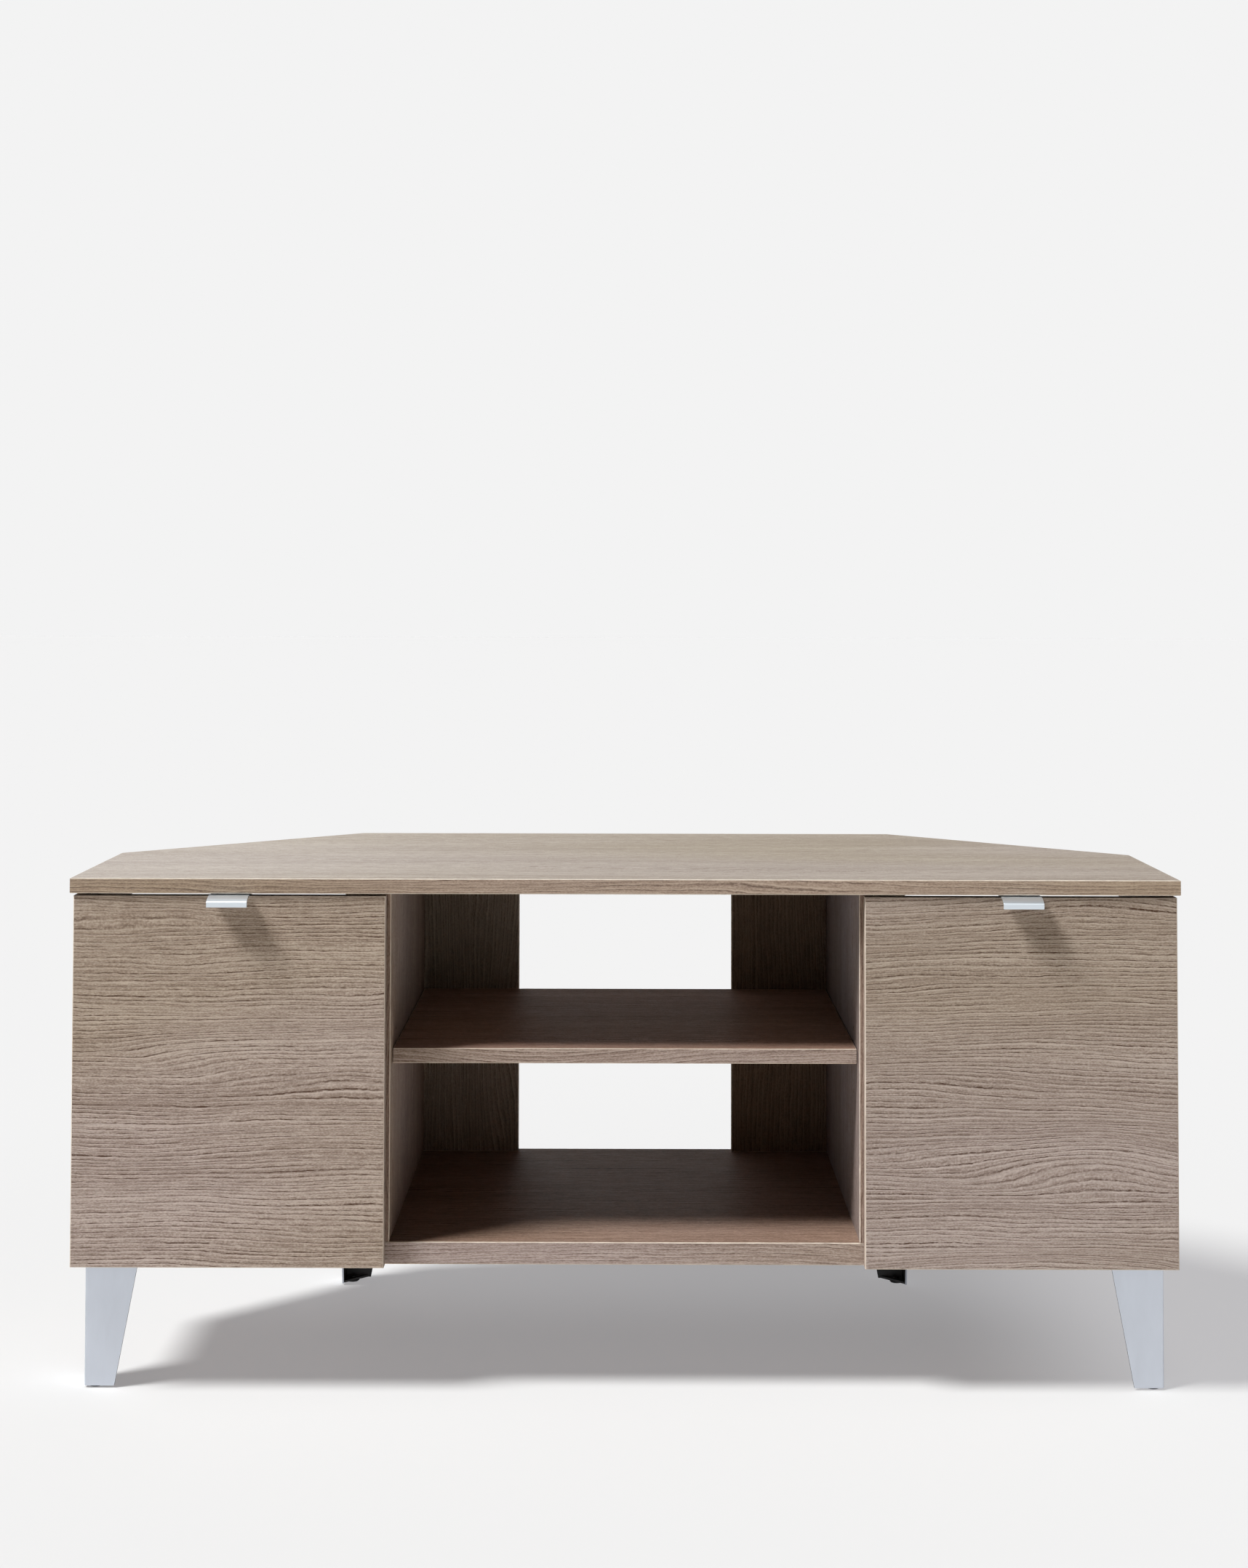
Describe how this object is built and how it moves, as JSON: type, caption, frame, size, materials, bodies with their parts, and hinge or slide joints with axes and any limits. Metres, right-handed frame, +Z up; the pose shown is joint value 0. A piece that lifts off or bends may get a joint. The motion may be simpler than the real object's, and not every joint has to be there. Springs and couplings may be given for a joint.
{
  "type": "corner tv cabinet",
  "caption": "Low corner cabinet for a television, with cut-off rear corners, an open middle bay with a shelf, a hinged door on each side and tapered sheet-metal legs.",
  "frame": {"origin": "on the floor, in the middle of the width and of the depth over the pulls", "axes": "+X to the right as seen from the front, +Y to the back, +Z up"},
  "size_m": [1.1, 0.5006, 0.508],
  "materials": {
    "oak_board": "satin grey-brown oak-effect melamine",
    "silver_leg": "satin silver powder coat",
    "pull_metal": "satin anodised",
    "plated_steel": "nickel plated",
    "glide_plastic": "black moulded plastic"
  },
  "bodies": {
    "case": {"bottom_panel": "oak_board", "centre_shelf": "oak_board", "left_back_post": "oak_board", "left_front_glide": "glide_plastic", "left_front_leg": "silver_leg", "left_front_leg_inner_screw": "plated_steel", "left_front_leg_middle_screw": "plated_steel", "left_front_leg_side_screw": "plated_steel", "left_front_shelf_pin": "plated_steel", "left_lower_hinge_arm": "plated_steel", "left_lower_hinge_plate": "plated_steel", "left_partition": "oak_board", "left_rear_glide": "glide_plastic", "left_rear_leg": "silver_leg", "left_rear_leg_inner_screw": "plated_steel", "left_rear_leg_middle_screw": "plated_steel", "left_rear_leg_side_screw": "plated_steel", "left_rear_shelf_pin": "plated_steel", "left_side_panel": "oak_board", "left_upper_hinge_arm": "plated_steel", "left_upper_hinge_plate": "plated_steel", "right_back_post": "oak_board", "right_front_glide": "glide_plastic", "right_front_leg": "silver_leg", "right_front_leg_inner_screw": "plated_steel", "right_front_leg_middle_screw": "plated_steel", "right_front_leg_side_screw": "plated_steel", "right_front_shelf_pin": "plated_steel", "right_lower_hinge_arm": "plated_steel", "right_lower_hinge_plate": "plated_steel", "right_partition": "oak_board", "right_rear_glide": "glide_plastic", "right_rear_leg": "silver_leg", "right_rear_leg_inner_screw": "plated_steel", "right_rear_leg_middle_screw": "plated_steel", "right_rear_leg_side_screw": "plated_steel", "right_rear_shelf_pin": "plated_steel", "right_side_panel": "oak_board", "right_upper_hinge_arm": "plated_steel", "right_upper_hinge_plate": "plated_steel", "top_panel": "oak_board"},
    "left_hinge_links": {"left_lower_hinge_link": "plated_steel", "left_upper_hinge_link": "plated_steel"},
    "right_hinge_links": {"right_lower_hinge_link": "plated_steel", "right_upper_hinge_link": "plated_steel"},
    "left_door": {"left_door": "oak_board", "left_lower_hinge_cup": "plated_steel", "left_pull": "pull_metal", "left_pull_inner_screw": "plated_steel", "left_pull_outer_screw": "plated_steel", "left_upper_hinge_cup": "plated_steel"},
    "right_door": {"right_door": "oak_board", "right_lower_hinge_cup": "plated_steel", "right_pull": "pull_metal", "right_pull_inner_screw": "plated_steel", "right_pull_outer_screw": "plated_steel", "right_upper_hinge_cup": "plated_steel"}
  },
  "joints": [
    {"name": "left_hinge_fold", "type": "hinge", "parent": "case", "child": "left_hinge_links", "pos_m": [-0.5165, -0.2097, 0.3085], "axis": [0, 0, 1], "range_deg": [0, 38]},
    {"name": "left_door_swing", "type": "hinge", "parent": "left_hinge_links", "child": "left_door", "pos_m": [-0.536, -0.2227, 0.3085], "axis": [0, 0, -1], "range_deg": [0, 133]},
    {"name": "right_hinge_fold", "type": "hinge", "parent": "case", "child": "right_hinge_links", "pos_m": [0.5165, -0.2097, 0.3085], "axis": [0, 0, -1], "range_deg": [0, 38]},
    {"name": "right_door_swing", "type": "hinge", "parent": "right_hinge_links", "child": "right_door", "pos_m": [0.536, -0.2227, 0.3085], "axis": [0, 0, 1], "range_deg": [0, 133]}
  ],
  "couplings": [
    {"joint": "left_hinge_fold", "follows": "left_door_swing", "ratio": 0.28571},
    {"joint": "right_hinge_fold", "follows": "right_door_swing", "ratio": 0.28571}
  ]
}
